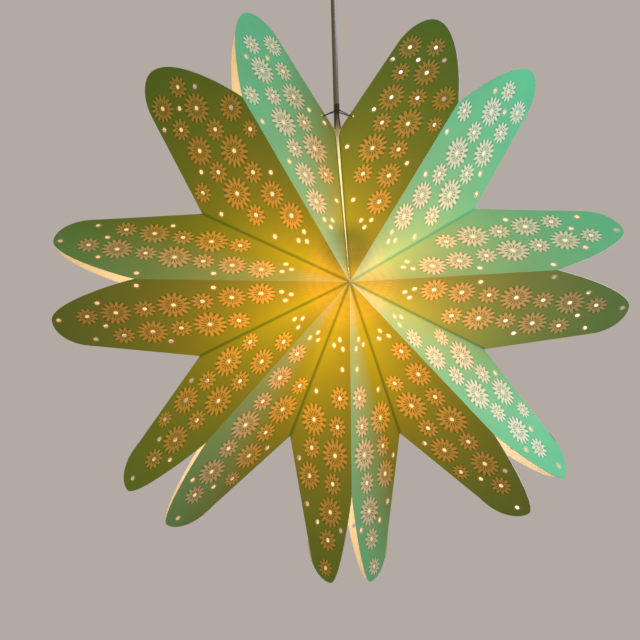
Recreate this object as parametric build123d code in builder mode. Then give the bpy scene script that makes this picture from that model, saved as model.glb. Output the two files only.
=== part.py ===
from build123d import *
import math
import os

# Folded star, in millimetres and degrees. The star lies in the XZ plane and its front faces -Y.
point_count = 7
valley_radius = 163.0  # hub axis to the corner where two neighbouring points meet
half_depth = 92.0  # middle plane to the front of the hub
droop = 12.0  # how far the side points hang below an even spread
seam_angle = 0.5  # half the angle by which the untied seam at the top stands open
ridge_lean = (2.2, 0.0, 0.0, 0.0, 0.0, 0.0, 2.2)  # turn of each ridge from the middle of its point
ridge_fall = (0.04, 0.085, 0.132, 0.172, 0.132, 0.085, 0.04)  # depth that a ridge loses on its way out
crease_length = 108.0  # corner to the place where the finger starts to round off
tip_reach = 151.0  # corner to the fingertip, measured along the point
tip_share = (0.75, 0.66, 0.6, 0.6, 0.6, 0.66, 0.75)  # each fingertip, from the ridge to the crease
tip_pull = 0.33  # roundness of the inner edge at the fingertip, as a share of its width
split_pull_reach = 0.47  # and where the fingers part, as shares of its length and width
split_pull_width = 0.26
split_radius = 213.0  # hub axis to the place where the two fingers part
paper = 0.4
hub_trim = 2.0  # corner cut from each sheet at the hub

# Holes punched in a row down the middle of every finger
punch_count = 3
punch_start = 120.0  # hub to the first hole
punch_pitch = 60.0
punch_radius = 2.5

# Glue tabs of each folded sheet
tab_width = 5.0
tab_taper = 5.0
tab_hub_gap = 16.0  # hub to the first end of a valley tab
tab_corner_gap = 7.0  # last end of a valley tab to the corner
overlap_width = 8.0  # tab under the glued back ridge
overlap_end_gap = 12.0

# Stick-shaped bulb, whose frosted tube hangs at the hub
bulb_radius = 19.0
bulb_foot = -44.0  # lower end of the tube, measured up from the hub
bulb_tube_length = 84.0
bulb_cap_radius = 13.1
bulb_cap_length = 35.0

# Lamp holder
running_clearance = 0.2
shell_wall = 0.5
shell_length = 26.0
contact_play = 0.2
insert_height = 8.0
skirt_radius = 19.5
skirt_cover = 1.5  # skirt below the lower end of the screw shell
holder_cap_height = 24.0
relief_neck_radius = 4.6
relief_neck_length = 8.0
relief_base_radius = 6.4
relief_ring_length = 13.0
relief_rings = 2
relief_step = 1.8  # each ring is thinner than the one below it by this

# Cable and the string that ties the seam round it
cable_radius = 2.9
cable_rise = 315.0  # hub to the top of the free cable
notch_clearance = 0.6
notch_half_length = 21.0  # room for the cable, above and below the corner
string_radius = 0.8
string_clearance = 0.25
tie_distance = 21.0  # corner to the tie holes, along the crease
tie_hole_clearance = 0.9
tie_knot_rise = 8.5  # tie holes to the knot
tie_turn = 5.5  # how far the string runs on inside the point before it turns back
knot_radius = 3.3
knot_half_height = 5.0
tail_length = 16.0
tail_spread = 2.2

# Ceiling fitting
grip_length = 22.0
grip_flats = 15.0
grip_flange_radius = 10.0
grip_flange_height = 4.0
nipple_radius = 5.0
nipple_bore_radius = 3.1
nipple_engagement = 9.0
thread_clearance = 0.05
cup_depth = 43.0
cup_rim_radius = 42.0
cup_wall = 1.8
cup_hole_clearance = 0.3
strap_length = 70.0
strap_width = 18.0
strap_thickness = 2.0
strap_hole_spacing = 52.0
strap_hole_radius = 2.3
nut_flats = 14.0
nut_height = 4.0

# Where the lamp parts and the ceiling fitting come to lie
hub_drop = cable_rise + grip_length + cup_depth
hub = Vector(0, 0, -hub_drop)
front = Vector(0, -1, 0)
middle_plane = Plane(origin=hub, x_dir=(1, 0, 0), z_dir=front)
bulb_cap_foot = bulb_foot + bulb_tube_length
bulb_top = bulb_cap_foot + bulb_cap_length
shell_inner_radius = bulb_cap_radius + running_clearance
shell_outer_radius = shell_inner_radius + shell_wall
holder_bore_radius = shell_outer_radius + running_clearance
insert_foot = bulb_top + contact_play
insert_top = insert_foot + insert_height
shell_foot = insert_foot - shell_length
holder_top = insert_top + holder_cap_height
relief_top = holder_top + relief_rings * relief_ring_length
cup_floor = cable_rise + grip_length
string_offset = cable_radius + string_radius + string_clearance

os.makedirs("parts", exist_ok=True)


def up(height):
    """Height above the hub, as a height below the ceiling."""
    return height - hub_drop


def star_direction(angle):
    """Unit vector in the star's plane, clockwise from straight up as seen from the front."""
    return Vector(math.sin(math.radians(angle)), 0, math.cos(math.radians(angle)))


def valley_angle(index):
    """Angle of a valley: an even spread that sags towards the bottom, open at the seam."""
    if index == 0:
        return seam_angle
    if index == point_count:
        return 360 - seam_angle
    even = 360 * index / point_count
    return even + droop * math.sin(math.radians(even))


class Panel:
    """Flat half of a point's front, on the counterclockwise side of its ridge with 1, else with -1."""

    def __init__(self, number, side):
        valleys = valley_angle(number - 1), valley_angle(number)
        ridge = sum(valleys) / 2 + ridge_lean[number - 1]
        self.side = side
        self.valley = valleys[0] if side == 1 else valleys[1]
        self.along = star_direction(ridge)
        self.across = star_direction(ridge - 90) * side
        self.fall = ridge_fall[number - 1]
        spread = math.radians(abs(self.valley - ridge))
        self.corner_reach = valley_radius * math.cos(spread)
        self.corner_width = valley_radius * math.sin(spread)
        self.slope = (half_depth - self.fall * self.corner_reach) / self.corner_width
        self.closing = math.atan2(self.fall, self.slope)  # crease against the ridge, in plan

    def place(self, reach, width, face=1):
        """Point of the front face given in plan, or of the back face with -1."""
        depth = half_depth - self.fall * reach - self.slope * width
        return hub + self.along * reach + self.across * width + front * (face * depth)

    def plane(self, face):
        """Plane of the sheet with its X axis along the ridge and its Y axis towards the crease."""
        return Plane(
            origin=self.place(0, 0, face),
            x_dir=self.place(1, 0, face) - self.place(0, 0, face),
            z_dir=(self.along * self.fall + self.across * self.slope + front * face) * (self.side * face),
        )

    def tie_hole(self):
        """Place in plan, measured from the hub, where the string goes through the sheet beside the seam."""
        crease = self.along * math.cos(self.closing) - self.across * math.sin(self.closing)
        inward = self.along * -math.sin(self.closing) - self.across * math.cos(self.closing)
        corner = star_direction(self.valley) * valley_radius
        return corner + crease * tie_distance + inward * (string_offset / math.hypot(self.fall, self.slope))


valley_length = math.hypot(valley_radius, half_depth)
tie_hole_radius = string_radius + tie_hole_clearance

# The two sides of the seam, with the points that they belong to
seam_sides = {1: 1, -1: point_count}

# Seven folded sheets, clockwise from the seam
for number in range(1, point_count + 1):
    with BuildPart() as star_point:
        for side in (1, -1):
            panel = Panel(number, side)
            face_plane = panel.plane(1)
            finger_width = panel.corner_width - tip_reach * math.tan(panel.closing)
            hub_point, corner, crease_end, fingertip, split_point = (
                face_plane.to_local_coords(panel.place(reach, width))
                for reach, width in (
                    (0, 0),
                    (panel.corner_reach, panel.corner_width),
                    (
                        panel.corner_reach + crease_length * math.cos(panel.closing),
                        panel.corner_width - crease_length * math.sin(panel.closing),
                    ),
                    (panel.corner_reach + tip_reach, tip_share[number - 1] * finger_width),
                    (split_radius, 0),
                )
            )
            ridge_plane = Plane(origin=hub, x_dir=panel.along, z_dir=panel.across)
            with BuildPart() as quarter:
                # One quarter of the sheet, from the ridge to the crease
                with BuildSketch(face_plane):
                    with BuildLine():
                        Polyline(split_point, hub_point, corner, crease_end)
                        EllipticalCenterArc(
                            (crease_end.X, fingertip.Y),
                            fingertip.X - crease_end.X,
                            crease_end.Y - fingertip.Y,
                            arc_size=90,
                        )
                        inner_edge = fingertip - split_point
                        Bezier(
                            fingertip,
                            fingertip - Vector(0, inner_edge.Y * tip_pull),
                            split_point
                            + Vector(inner_edge.X * split_pull_reach, inner_edge.Y * split_pull_width),
                            split_point,
                        )
                    make_face()
                extrude(amount=-side * paper)
                punch_line = ((split_point + crease_end) / 2).normalized()
                with BuildSketch(face_plane):
                    with Locations(
                        *(punch_line * (punch_start + i * punch_pitch) for i in range(punch_count))
                    ):
                        RegularPolygon(punch_radius, 6)
                extrude(amount=-side * paper, mode=Mode.SUBTRACT)
                split(bisect_by=ridge_plane, keep=Keep.TOP)
                split(bisect_by=middle_plane, keep=Keep.TOP)

                # Glue tab that stands inwards in the valley
                tab_plane = Plane(
                    origin=hub,
                    x_dir=star_direction(panel.valley),
                    z_dir=star_direction(panel.valley + 90),
                )
                fold = Vector(valley_radius, -half_depth).normalized()
                fold_start = Vector(0, half_depth)
                inward = Vector(fold.Y, -fold.X)
                tab_end = valley_length - tab_corner_gap
                with BuildSketch(tab_plane):
                    with BuildLine():
                        Polyline(
                            fold_start + fold * tab_hub_gap,
                            fold_start + fold * tab_end,
                            fold_start + fold * (tab_end - tab_taper) + inward * tab_width,
                            fold_start + fold * (tab_hub_gap + tab_taper) + inward * tab_width,
                            close=True,
                        )
                    make_face()
                extrude(amount=side * paper)

        # The back of the sheet
        mirror(about=middle_plane)

        # Overlap tab glued under the back ridge
        panel = Panel(number, 1)
        overlap_plane = panel.plane(-1)
        overlap_end = split_radius - overlap_end_gap
        overlap_corners = [
            overlap_plane.to_local_coords(panel.place(reach, width, -1))
            for reach, width in (
                (tab_hub_gap, 0),
                (overlap_end, 0),
                (overlap_end - tab_taper, overlap_width),
                (tab_hub_gap + tab_taper, overlap_width),
            )
        ]
        with BuildSketch(overlap_plane.offset(paper)):
            with BuildLine():
                Polyline(*overlap_corners, close=True)
            make_face()
        extrude(amount=paper)

        # Small opening where the trimmed corners of the seven points come together
        split(bisect_by=Plane(origin=hub + panel.along * hub_trim, z_dir=panel.along), keep=Keep.TOP)

        # Room for the cable, and the tie holes, beside the open seam
        for side, seam_point in seam_sides.items():
            if number == seam_point:
                with BuildSketch(Plane.XY.offset(up(valley_radius))):
                    Rectangle(2 * (cable_radius + notch_clearance), 2 * (cable_radius + notch_clearance))
                extrude(amount=notch_half_length, both=True, mode=Mode.SUBTRACT)
                tie_hole = Panel(number, side).tie_hole()
                with BuildSketch(middle_plane):
                    with Locations((tie_hole.X, tie_hole.Z)):
                        RegularPolygon(tie_hole_radius, 6)
                extrude(amount=half_depth, both=True, mode=Mode.SUBTRACT)

    star_point.part.label = f"star_point_{number}"
    export_step(star_point.part, f"parts/star_point_{number}.step")

# Frosted bulb with its screw cap
with BuildPart() as bulb:
    with BuildSketch(Plane.XY.offset(up(bulb_foot))):
        Circle(bulb_radius)
    extrude(amount=bulb_tube_length)
    with BuildSketch(Plane.XY.offset(up(bulb_cap_foot))):
        Circle(bulb_cap_radius)
    extrude(amount=bulb_cap_length)
bulb.part.label = "bulb"
export_step(bulb.part, "parts/bulb.step")

# Brass screw shell of the lamp holder
with BuildPart() as screw_shell:
    with BuildSketch(Plane.XY.offset(up(shell_foot))):
        Circle(shell_outer_radius)
        Circle(shell_inner_radius, mode=Mode.SUBTRACT)
    extrude(amount=shell_length)
screw_shell.part.label = "screw_shell"
export_step(screw_shell.part, "parts/screw_shell.step")

# Insulating insert above the bulb's contact
with BuildPart() as contact_insert:
    with BuildSketch(Plane.XY.offset(up(insert_foot))):
        Circle(shell_outer_radius)
    extrude(amount=insert_height)
contact_insert.part.label = "contact_insert"
export_step(contact_insert.part, "parts/contact_insert.step")

# Lower half of the lamp holder, a sleeve round the shell and the insert
skirt_foot = shell_foot - skirt_cover
with BuildPart() as lampholder_skirt:
    with BuildSketch(Plane.XY.offset(up(skirt_foot))):
        Circle(skirt_radius)
        Circle(holder_bore_radius, mode=Mode.SUBTRACT)
    extrude(amount=insert_top - skirt_foot)
lampholder_skirt.part.label = "lampholder_skirt"
export_step(lampholder_skirt.part, "parts/lampholder_skirt.step")

# Cap of the lamp holder, with a socket for the strain relief
with BuildPart() as lampholder_cap:
    with BuildSketch(Plane.XY.offset(up(insert_top))):
        Circle(skirt_radius)
    extrude(amount=holder_cap_height)
    with BuildSketch(Plane.XY.offset(up(holder_top))):
        Circle(relief_neck_radius + running_clearance)
    extrude(amount=-relief_neck_length, mode=Mode.SUBTRACT)
lampholder_cap.part.label = "lampholder_cap"
export_step(lampholder_cap.part, "parts/lampholder_cap.step")

# Strain relief that tapers in rings, with its neck in the cap
with BuildPart() as strain_relief:
    with BuildSketch(Plane.XY.offset(up(holder_top))):
        Circle(relief_neck_radius)
    extrude(amount=-relief_neck_length)
    for ring in range(relief_rings):
        with BuildSketch(Plane.XY.offset(up(holder_top + ring * relief_ring_length))):
            Circle(relief_base_radius - ring * relief_step)
        extrude(amount=relief_ring_length)
strain_relief.part.label = "strain_relief"
export_step(strain_relief.part, "parts/strain_relief.step")

# Free cable, pulled straight by the weight of the star
with BuildPart() as cable:
    with BuildSketch(Plane.XY.offset(up(relief_top))):
        Circle(cable_radius)
    extrude(amount=cable_rise - relief_top)
cable.part.label = "cable"
export_step(cable.part, "parts/cable.step")

# Tie string: through the holes of both end sheets, behind the cable and into a knot before it
tie_holes = {side: Panel(number, side).tie_hole() for side, number in seam_sides.items()}
knot_height = tie_holes[1].Z + tie_knot_rise


def tie_point(side, face):
    """Place where the string turns inside a point, on the right or left, at the front or back."""
    run = Vector(tie_holes[side].X, 0, tie_holes[side].Z - knot_height)
    turn = run + run.normalized() * tie_turn
    return Vector(turn.X, -face * string_offset, up(knot_height + turn.Z))


knot_entry = Vector(0, -string_offset, up(knot_height))
knot_back = Vector(0, string_offset, up(knot_height))
knot_middle = Vector(0, -cable_radius - string_clearance - knot_radius, up(knot_height))
with BuildPart() as tie_string:
    with BuildSketch(Plane(origin=knot_middle - Vector(0, 0, knot_half_height))):
        Circle(knot_radius)
    extrude(amount=2 * knot_half_height)
    with BuildLine() as tie_route:
        Polyline(
            knot_entry,
            tie_point(1, 1),
            tie_point(1, -1),
            knot_back,
            tie_point(-1, -1),
            tie_point(-1, 1),
            knot_entry + Vector(0, 0, -string_radius),
        )
    with BuildSketch(Plane(origin=tie_route.line @ 0, z_dir=tie_route.line % 0)):
        Circle(string_radius)
    sweep(transition=Transition.RIGHT)
    for side in (-1, 1):
        tail_start = knot_middle + Vector(side * string_radius, 0, 0)
        tail_run = Vector(side * tail_spread, 0, -tail_length - knot_half_height)
        with BuildSketch(Plane(origin=tail_start, z_dir=tail_run)):
            Circle(string_radius)
        extrude(amount=tail_run.length)
tie_string.part.label = "tie_string"
export_step(tie_string.part, "parts/tie_string.step")

# Cord grip under the ceiling cup: a hexagon to turn it by, under a flange
with BuildPart() as cup_cord_grip:
    with BuildSketch(Plane.XY.offset(up(cable_rise))):
        RegularPolygon(grip_flats / 2, 6, major_radius=False)
    extrude(amount=grip_length - grip_flange_height)
    with BuildSketch(Plane.XY.offset(up(cup_floor))):
        Circle(grip_flange_radius)
    extrude(amount=-grip_flange_height)
    with BuildSketch(Plane.XY.offset(up(cup_floor))):
        Circle(nipple_radius + thread_clearance)
    extrude(amount=-nipple_engagement, mode=Mode.SUBTRACT)
cup_cord_grip.part.label = "cup_cord_grip"
export_step(cup_cord_grip.part, "parts/cup_cord_grip.step")

# Ceiling cup, a drum that is open towards the ceiling
with BuildPart() as ceiling_cup:
    with BuildSketch(Plane.XY):
        Circle(cup_rim_radius)
    extrude(amount=-cup_depth)
    with BuildSketch(Plane.XY):
        Circle(cup_rim_radius - cup_wall)
    extrude(amount=cup_wall - cup_depth, mode=Mode.SUBTRACT)
    with BuildSketch(Plane.XY):
        Circle(nipple_radius + cup_hole_clearance)
    extrude(amount=-cup_depth, mode=Mode.SUBTRACT)
ceiling_cup.part.label = "ceiling_cup"
export_step(ceiling_cup.part, "parts/ceiling_cup.step")

# Threaded nipple that joins the cord grip to the strap
nipple_foot = -cup_depth - nipple_engagement
with BuildPart() as threaded_nipple:
    with BuildSketch(Plane.XY.offset(nipple_foot)):
        Circle(nipple_radius)
        Circle(nipple_bore_radius, mode=Mode.SUBTRACT)
    extrude(amount=-nipple_foot)
threaded_nipple.part.label = "threaded_nipple"
export_step(threaded_nipple.part, "parts/threaded_nipple.step")

# Hexagon nut that locks the nipple under the strap
with BuildPart() as lock_nut:
    with BuildSketch(Plane.XY.offset(-strap_thickness)):
        RegularPolygon(nut_flats / 2, 6, major_radius=False)
        Circle(nipple_radius + thread_clearance, mode=Mode.SUBTRACT)
    extrude(amount=-nut_height)
lock_nut.part.label = "lock_nut"
export_step(lock_nut.part, "parts/lock_nut.step")

# Steel strap screwed to the ceiling
with BuildPart() as mounting_strap:
    with BuildSketch(Plane.XY):
        Rectangle(strap_length, strap_width)
        Circle(nipple_radius + thread_clearance, mode=Mode.SUBTRACT)
        with GridLocations(strap_hole_spacing, 0, 2, 1):
            Circle(strap_hole_radius, mode=Mode.SUBTRACT)
    extrude(amount=-strap_thickness)
mounting_strap.part.label = "mounting_strap"
export_step(mounting_strap.part, "parts/mounting_strap.step")
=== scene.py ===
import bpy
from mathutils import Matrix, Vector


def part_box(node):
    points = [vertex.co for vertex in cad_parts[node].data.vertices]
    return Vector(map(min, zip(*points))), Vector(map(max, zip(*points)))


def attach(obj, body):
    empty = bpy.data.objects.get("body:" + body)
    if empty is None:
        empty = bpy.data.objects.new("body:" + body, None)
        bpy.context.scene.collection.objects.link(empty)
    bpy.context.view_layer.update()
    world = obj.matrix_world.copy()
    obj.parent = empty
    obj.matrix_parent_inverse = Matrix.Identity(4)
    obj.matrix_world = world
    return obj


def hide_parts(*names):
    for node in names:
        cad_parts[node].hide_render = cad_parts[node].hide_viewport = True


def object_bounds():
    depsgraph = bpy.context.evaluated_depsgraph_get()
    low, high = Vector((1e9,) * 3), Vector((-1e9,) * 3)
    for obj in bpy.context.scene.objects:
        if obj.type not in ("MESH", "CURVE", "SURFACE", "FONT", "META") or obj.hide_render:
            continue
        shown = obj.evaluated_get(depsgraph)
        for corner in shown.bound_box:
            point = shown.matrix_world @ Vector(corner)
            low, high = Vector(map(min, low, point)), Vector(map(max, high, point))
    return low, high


bl_info = {
    "name": "Hanging Paper Star",
    "version": (1, 0, 0),
    "blender": (4, 5, 0),
    "location": "View3D > Sidebar > Paper Star",
    "description": "Dresses a folded paper star lantern with its print, lamp, cable and ceiling cup",
    "category": "Object",
}

import math

import bmesh
import bpy
from bpy.props import FloatProperty, FloatVectorProperty, IntProperty, PointerProperty
from mathutils import Matrix, Vector

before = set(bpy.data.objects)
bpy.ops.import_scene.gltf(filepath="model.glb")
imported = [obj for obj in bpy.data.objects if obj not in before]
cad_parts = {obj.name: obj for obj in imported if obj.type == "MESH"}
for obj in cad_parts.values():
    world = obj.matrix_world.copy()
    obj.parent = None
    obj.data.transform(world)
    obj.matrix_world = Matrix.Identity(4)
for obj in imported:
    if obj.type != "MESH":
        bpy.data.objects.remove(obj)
CAD_BOX = [list(corner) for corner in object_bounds()]


def linear(code):
    """Linear colour of an sRGB hex value."""
    parts = [int(code[i : i + 2], 16) / 255 for i in (1, 3, 5)]
    return [p / 12.92 if p <= 0.04045 else ((p + 0.055) / 1.055) ** 2.4 for p in parts]


def metres(name, description, default):
    """Property for a length."""
    return FloatProperty(name=name, description=description, default=default, unit="LENGTH", precision=4)


def degrees(name, description, default):
    """Property for an angle."""
    return FloatProperty(name=name, description=description, default=math.radians(default), unit="ROTATION")


def colour(name, description, default):
    """Property for a linear colour."""
    return FloatVectorProperty(name=name, description=description, default=default, subtype="COLOR")


class StarSheetSettings(bpy.types.PropertyGroup):
    """Folds and outline of the seven sheets, and the punched holes"""

    hub_height: metres("Hub height", "Middle of the star below the ceiling", -0.380)
    valley_radius: metres("Valley radius", "Hub to the corner between two points", 0.163)
    half_depth: metres("Half depth", "Middle plane to the front of the hub", 0.092)
    droop: degrees("Droop", "How far the side points hang down", 12)
    seam_angle: degrees("Seam angle", "Half the angle of the open seam", 0.5)
    ridge_lean: FloatVectorProperty(
        name="Ridge lean",
        description="Turn of each ridge from the middle of its point",
        default=[math.radians(lean) for lean in (2.2, 0, 0, 0, 0, 0, 2.2)],
        size=7,
        unit="ROTATION",
    )
    ridge_fall: FloatVectorProperty(
        name="Ridge fall",
        description="Depth that each ridge loses on its way out",
        default=(0.04, 0.085, 0.132, 0.172, 0.132, 0.085, 0.04),
        size=7,
    )
    crease_length: metres("Crease length", "Corner to the start of the rounding", 0.108)
    tip_reach: metres("Tip reach", "Corner to fingertip along the point", 0.151)
    tip_share: FloatVectorProperty(
        name="Tip share",
        description="Each fingertip between ridge and crease",
        default=(0.75, 0.66, 0.6, 0.6, 0.6, 0.66, 0.75),
        size=7,
    )
    tip_pull: FloatProperty(
        name="Tip pull",
        description="Roundness of the inner edge at the fingertip",
        default=0.33,
        subtype="FACTOR",
    )
    split_pull: FloatVectorProperty(
        name="Split pull",
        description="Roundness of the inner edge where the fingers part",
        default=(0.47, 0.26),
        size=2,
    )
    split_radius: metres("Split radius", "Hub to the place where two fingers part", 0.213)
    hub_trim: metres("Hub trim", "Corner cut from each sheet at the hub", 0.0002)
    paper: metres("Paper", "Thickness of the card", 0.0004)
    tab_width: metres("Tab width", "Glue tab in the valley", 0.005)
    tab_taper: metres("Tab taper", "Slope of a tab's ends", 0.005)
    tab_hub_gap: metres("Tab hub gap", "Hub to the first end of a tab", 0.016)
    tab_corner_gap: metres("Tab corner gap", "Last end of a valley tab to the corner", 0.007)
    overlap_width: metres("Overlap width", "Tab under the back ridge", 0.008)
    overlap_end_gap: metres("Overlap end gap", "Last end of the overlap to the split", 0.012)
    punch_start: metres("First hole", "Hub to the first large rosette", 0.120)
    punch_pitch: metres("Hole pitch", "Between large rosettes", 0.060)
    column_pitch: metres("Column pitch", "Between columns of rosettes", 0.033)
    punch_radius: metres("Hole radius", "Punched hole of a rosette", 0.0023)


class StarColourSettings(bpy.types.PropertyGroup):
    """Colours of the print and of the lamp light in the paper"""

    ink: colour("Ink", "Teal ink in daylight", linear("#3CB383"))
    card: colour("Card", "Unprinted card", linear("#F4F1E6"))
    tint: colour("Tint", "Pale tint of the rosettes", linear("#B8CDB4"))
    ink_glow: colour("Ink glow", "Lamp light through printed card", (1.0, 0.45, 0.0))
    card_glow: colour("Card glow", "Lamp light through bare card", (2.1, 0.67, 0.04))
    inside_glow: colour("Inside glow", "Lamp-lit inside of the card", (0.31, 0.215, 0.12))
    glow_distance: metres("Glow distance", "Lamp to the card where the glow has a strength of 1", 0.0702)


class StarFittingSettings(bpy.types.PropertyGroup):
    """Lamp, cable, string and ceiling fitting"""

    cable_radius: metres("Cable radius", "Round flex", 0.0029)
    string_radius: metres("String radius", "Tie string", 0.0008)
    cup_rounding: metres("Cup rounding", "Rounded edge of the ceiling cup", 0.0006)
    round_steps: IntProperty(name="Round steps", description="Facets of a turned piece", default=64, min=12)


class StarStageSettings(bpy.types.PropertyGroup):
    """Backdrop, light and camera"""

    wall: colour("Backdrop", "Pale warm grey", linear("#B4AAA4"))
    key_power: FloatProperty(
        name="Key power", description="Soft light from the right", default=18.0, unit="POWER"
    )
    camera_distance: metres("Camera distance", "Camera to the hub", 2.0)
    azimuth: degrees("Azimuth", "Camera to the left of the axis", -5.4)
    elevation: degrees("Elevation", "Camera below the axis", -3.4)
    roll: degrees("Roll", "Lean of the camera", -1.5)
    focal_length: FloatProperty(name="Focal length", description="In millimetres", default=108.2)


# Materials

# Painted lamp light: emission that stands for the lamp's light on the pieces inside the star
LAMP_LIT = {"glow": "#FFE2A8", "strength": 0.6}  # warm light of the lamp on the pieces inside the star


def wire(tree, node, links):
    """Gives sockets of a node their values or other nodes' outputs."""
    for socket, value in links.items():
        if isinstance(value, bpy.types.NodeSocket):
            tree.links.new(value, node.inputs[socket])
        else:
            node.inputs[socket].default_value = value


def add(tree, kind, links=None, **settings):
    """One node with its settings; links maps sockets to values or to other nodes' outputs."""
    node = tree.nodes.new(kind)
    for name, value in settings.items():
        setattr(node, name, value)
    wire(tree, node, links or {})
    return node


def calc(tree, operation, *values):
    """Result of one step of arithmetic."""
    return add(tree, "ShaderNodeMath", dict(enumerate(values)), operation=operation).outputs[0]


def distance(tree, place, other=(0, 0, 0)):
    """Distance between two places."""
    return add(tree, "ShaderNodeVectorMath", {0: place, 1: other}, operation="DISTANCE").outputs["Value"]


def scaled(tree, tone, share):
    """Colour times a share."""
    return add(tree, "ShaderNodeVectorMath", {0: tone, "Scale": share}, operation="SCALE").outputs["Vector"]


def blend(tree, factor, first, second):
    """Colour between two others."""
    sockets = {"Factor": factor, "A": first, "B": second}
    return add(tree, "ShaderNodeMix", sockets, data_type="RGBA").outputs["Result"]


def fit(tree, value, start, end, low, high, curve="LINEAR"):
    """Value that goes from low to high while another goes from start to end."""
    ends = {0: value, 1: start, 2: end, 3: low, 4: high}
    return add(tree, "ShaderNodeMapRange", ends, interpolation_type=curve).outputs[0]


def noise(tree, place, scale, detail):
    """Cloudy tone from 0 to 1, with its scale in clouds per metre."""
    return add(tree, "ShaderNodeTexNoise", {"Vector": place, "Scale": scale, "Detail": detail}).outputs[0]


def relief(tree, height, strength, depth, **normal):
    """Normal of a surface that a height raises."""
    sockets = {"Height": height, "Strength": strength, "Distance": depth, **normal}
    return add(tree, "ShaderNodeBump", sockets).outputs[0]


def object_place(tree):
    """Place in the object's frame."""
    return add(tree, "ShaderNodeTexCoord").outputs["Object"]


def split(tree, vector):
    """The three parts of a vector."""
    return add(tree, "ShaderNodeSeparateXYZ", {0: vector}).outputs


def polar(tree, uv_map):
    """Distance from the origin of a UV map, angle round it, and the map's second coordinate."""
    place = add(tree, "ShaderNodeUVMap", uv_map=uv_map).outputs[0]
    along, across, _ = split(tree, place)
    return distance(tree, place), calc(tree, "ARCTAN2", across, along), across


def new_material(name):
    """Material with one Principled shader, and its tree and shader."""
    material = bpy.data.materials.new(name)
    material.use_nodes = True
    return material, material.node_tree, material.node_tree.nodes["Principled BSDF"]


def seen_rays(tree):
    """Mask of the rays that show the surroundings: from the camera, mirrored or through glass."""
    path = add(tree, "ShaderNodeLightPath")
    mask = path.outputs["Is Camera Ray"]
    for ray in ("Is Glossy Ray", "Is Transmission Ray"):
        mask = calc(tree, "MAXIMUM", mask, path.outputs[ray])
    return mask


def lamp_falloff(tree, hub_height, full, power):
    """Lamp light at a place of the sheet: 1 at the full distance from the lamp, and less further out."""
    away = distance(tree, object_place(tree), (0, 0, hub_height))
    return calc(tree, "POWER", calc(tree, "DIVIDE", away, full), -power)


def card_bump(tree, strength):
    """Fibres of uncoated card, drawn about 1.2 mm wide so that they show, and a slow waviness."""
    place = object_place(tree)
    waves = noise(tree, place, scale=14.0, detail=1.0)
    fibres = noise(tree, place, scale=850.0, detail=3.0)
    wavy = relief(tree, waves, strength=0.25, depth=0.004)
    return relief(tree, fibres, strength, depth=0.0002, Normal=wavy)


def ring_of_spots(tree, radius, turn, spots, middle, height, width, shift=0.0):
    """Mask of a ring of oval spots: middle and height along the radius, width as a share of the sector."""
    turns = calc(tree, "MULTIPLY", turn, 1 / math.tau)
    sector = calc(tree, "FRACT", calc(tree, "MULTIPLY_ADD", turns, spots, 0.5 + shift))
    across = calc(tree, "MULTIPLY_ADD", sector, 2 / width, -1 / width)
    along = calc(tree, "MULTIPLY_ADD", radius, 1 / height, -middle / height)
    spot = add(tree, "ShaderNodeCombineXYZ", {0: across, 1: along}).outputs[0]
    return calc(tree, "LESS_THAN", distance(tree, spot), 1.0)


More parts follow.
